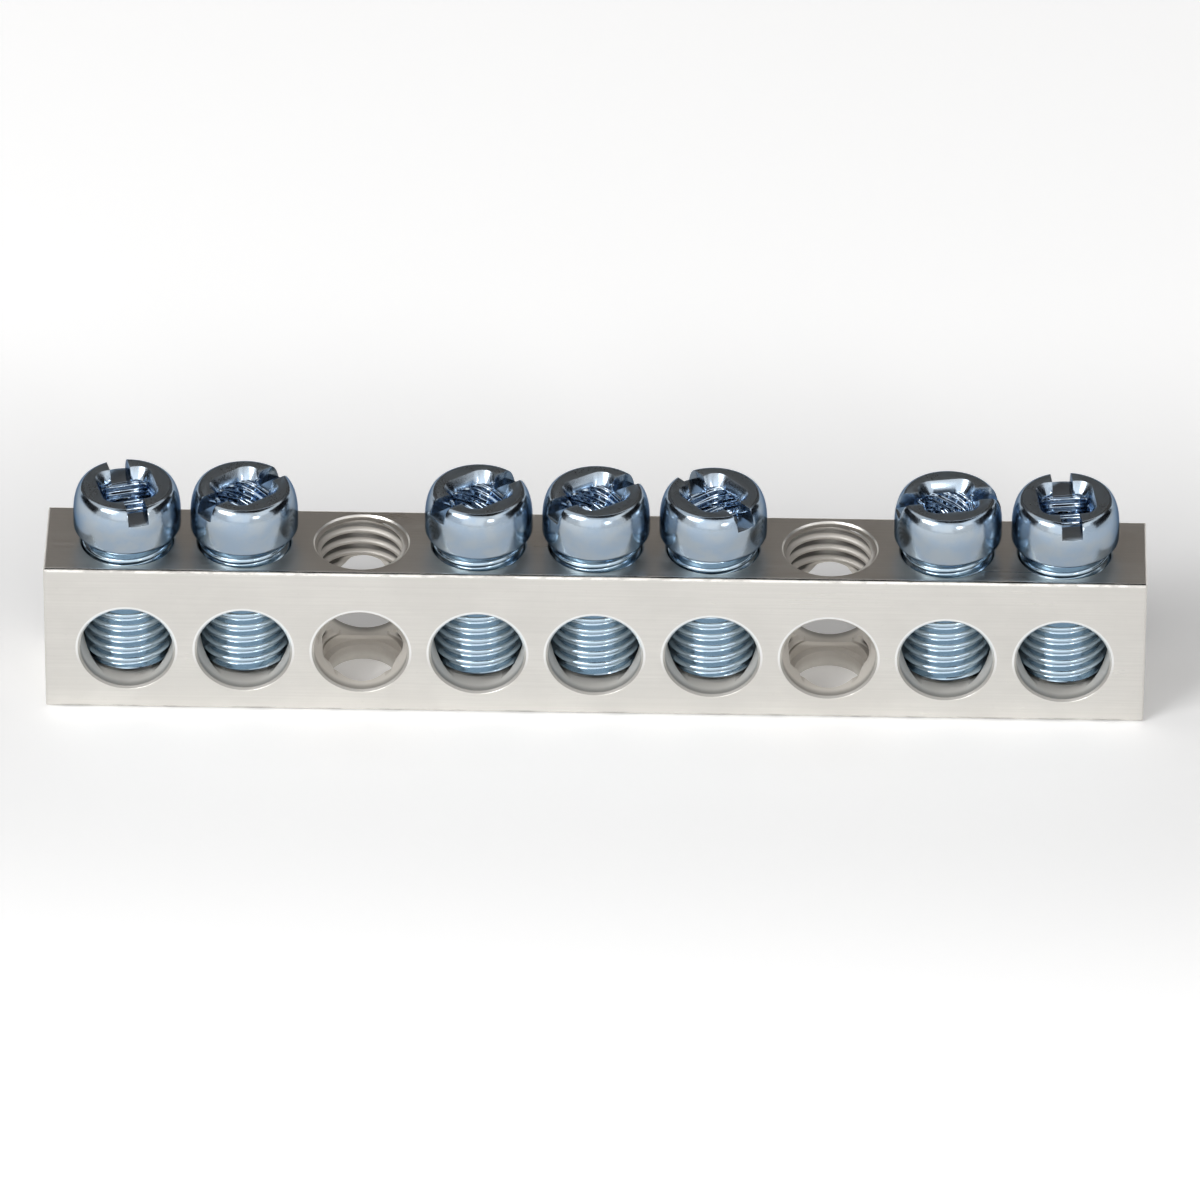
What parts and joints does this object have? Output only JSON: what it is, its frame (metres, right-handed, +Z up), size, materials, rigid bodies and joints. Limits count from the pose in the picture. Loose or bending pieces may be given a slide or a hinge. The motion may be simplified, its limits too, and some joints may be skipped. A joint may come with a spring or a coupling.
{
  "type": "earth terminal bar",
  "caption": "Metal earth bar with a row of round wire holes through it, each clamped from above by a threaded screw, with two open positions for fixing screws.",
  "frame": {"origin": "Middle of the base of the bar, where it rests", "axes": "+X along the row of positions, from position 1 to position 9; +Y through the wire holes from front to back; +Z up, out of the tapped holes"},
  "size_m": [0.0746, 0.0076, 0.0158],
  "materials": {
    "bar_metal": "satin tin plate",
    "screw_metal": "bright zinc plate, slightly blue"
  },
  "bodies": {
    "bar": {"terminal_bar": "bar_metal"},
    "screw_1": {"terminal_screw_1": "screw_metal"},
    "screw_2": {"terminal_screw_2": "screw_metal"},
    "screw_4": {"terminal_screw_4": "screw_metal"},
    "screw_5": {"terminal_screw_5": "screw_metal"},
    "screw_6": {"terminal_screw_6": "screw_metal"},
    "screw_8": {"terminal_screw_8": "screw_metal"},
    "screw_9": {"terminal_screw_9": "screw_metal"}
  },
  "joints": [
    {"name": "screw_1_travel", "type": "slide", "parent": "bar", "child": "screw_1", "axis": [0, 0, 1], "range_m": [-0.0002, 0.0057]},
    {"name": "screw_2_travel", "type": "slide", "parent": "bar", "child": "screw_2", "axis": [0, 0, 1], "range_m": [-0.0002, 0.0057]},
    {"name": "screw_4_travel", "type": "slide", "parent": "bar", "child": "screw_4", "axis": [0, 0, 1], "range_m": [-0.0002, 0.0057]},
    {"name": "screw_5_travel", "type": "slide", "parent": "bar", "child": "screw_5", "axis": [0, 0, 1], "range_m": [-0.0002, 0.0057]},
    {"name": "screw_6_travel", "type": "slide", "parent": "bar", "child": "screw_6", "axis": [0, 0, 1], "range_m": [-0.0002, 0.0057]},
    {"name": "screw_8_travel", "type": "slide", "parent": "bar", "child": "screw_8", "axis": [0, 0, 1], "range_m": [-0.0002, 0.0057]},
    {"name": "screw_9_travel", "type": "slide", "parent": "bar", "child": "screw_9", "axis": [0, 0, 1], "range_m": [-0.0002, 0.0057]}
  ]
}
